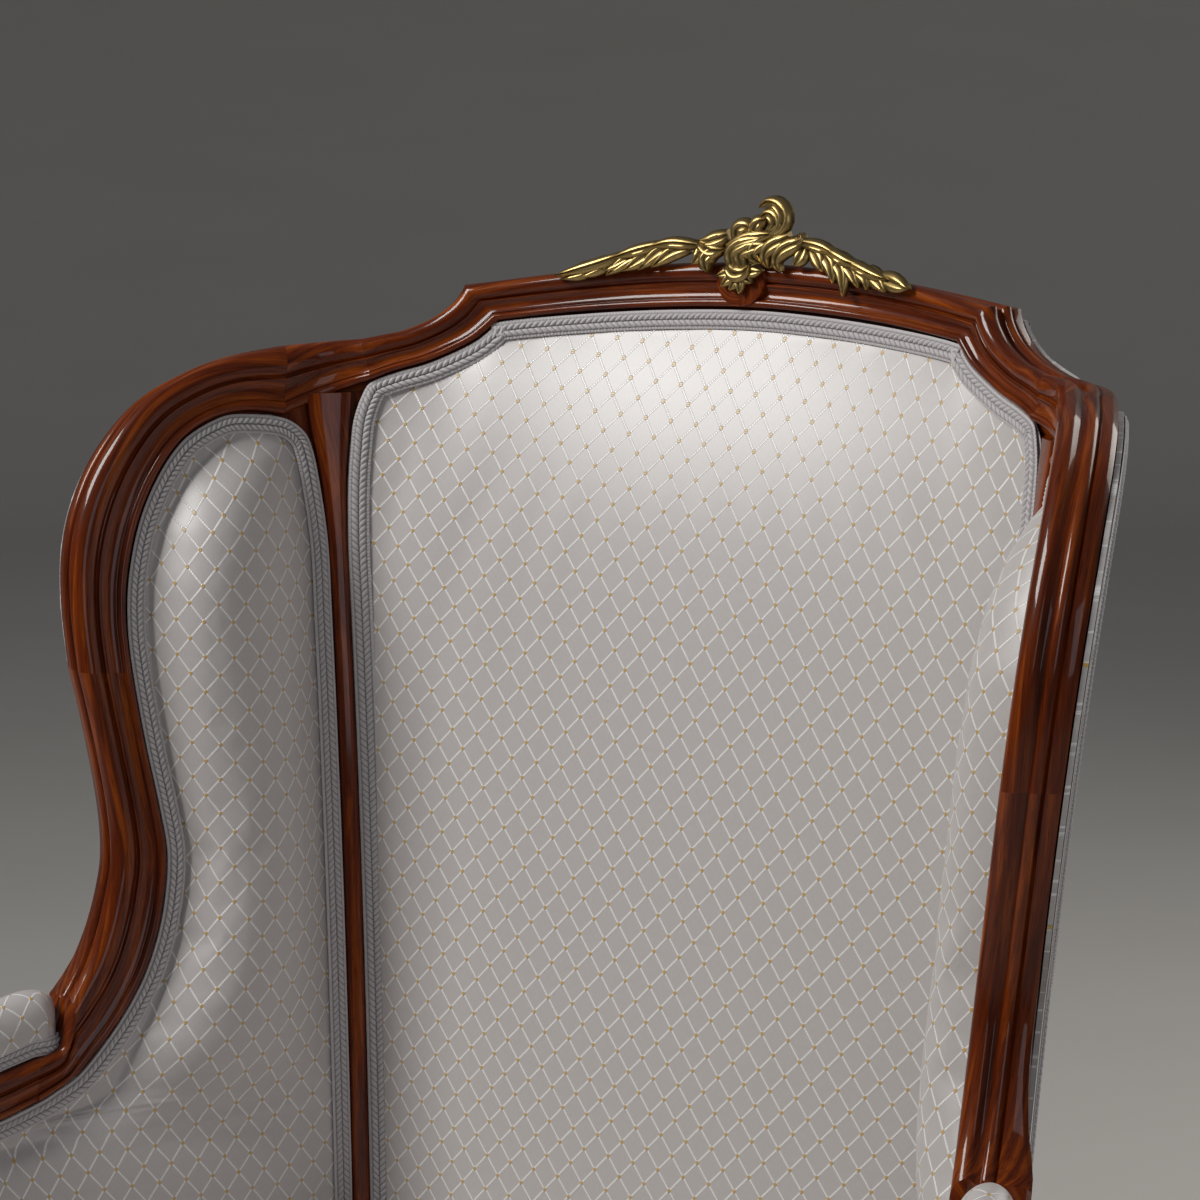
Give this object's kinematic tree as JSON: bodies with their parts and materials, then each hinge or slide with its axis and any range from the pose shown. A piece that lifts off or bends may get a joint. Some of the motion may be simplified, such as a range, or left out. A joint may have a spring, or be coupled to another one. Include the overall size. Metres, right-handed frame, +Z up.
{
  "type": "wingback chair",
  "caption": "Rococo-style wing armchair with closed upholstered sides, moulded mahogany show frame, loose seat cushion, lattice satin, braid edging and a gilt leaf mount on the crest.",
  "frame": {"origin": "floor, under the middle of the chair's box", "axes": "+Z up, the chair faces -Y, +X is the viewer's right when facing the seat"},
  "size_m": [0.7924, 0.6489, 1.1385],
  "materials": {
    "mahogany": "high-gloss lacquer, dark red-brown with darker grooves",
    "beech": "plain sawn, hidden",
    "lattice_satin": "ivory satin with a fine silvery diamond lattice and small gold dots at the crossings",
    "braid": "woven braid with looped cord down the middle",
    "webbing": "woven jute straps",
    "canvas": "plain canvas",
    "dust_cloth": "thin black lining cloth",
    "gilt_mount": "antique gilt with dark recesses"
  },
  "bodies": {
    "frame": {"arm_gimp_left": "braid", "arm_gimp_right": "braid", "arm_left": "mahogany", "arm_pad_left": "lattice_satin", "arm_pad_right": "lattice_satin", "arm_right": "mahogany", "arm_support_left": "mahogany", "arm_support_right": "mahogany", "back_cover": "lattice_satin", "back_cover_gimp": "braid", "back_gimp": "braid", "back_lower_rail": "beech", "back_pad": "lattice_satin", "back_seat_rail": "mahogany", "back_webbing": "webbing", "corner_block_left": "beech", "corner_block_right": "beech", "crest_rail": "mahogany", "dust_cover": "dust_cloth", "front_leg_left": "mahogany", "front_leg_right": "mahogany", "front_seat_rail": "mahogany", "mount_centre": "gilt_mount", "mount_spray_left": "gilt_mount", "mount_spray_right": "gilt_mount", "post_left": "mahogany", "post_right": "mahogany", "seat_canvas": "canvas", "seat_deck_pad": "lattice_satin", "seat_webbing": "webbing", "side_cover_gimp_left": "braid", "side_cover_gimp_right": "braid", "side_cover_left": "lattice_satin", "side_cover_right": "lattice_satin", "side_gimp_left": "braid", "side_gimp_right": "braid", "side_lower_rail_left": "beech", "side_lower_rail_right": "beech", "side_pad_left": "lattice_satin", "side_pad_right": "lattice_satin", "side_seat_rail_left": "mahogany", "side_seat_rail_right": "mahogany", "wing_rail_lower_left": "mahogany", "wing_rail_lower_right": "mahogany", "wing_rail_upper_left": "mahogany", "wing_rail_upper_right": "mahogany"},
    "cushion": {"seat_cushion": "lattice_satin"}
  },
  "joints": [
    {"name": "cushion_lift", "type": "slide", "parent": "frame", "child": "cushion", "axis": [0, 0, 1], "range_m": [0, 0.72]}
  ]
}
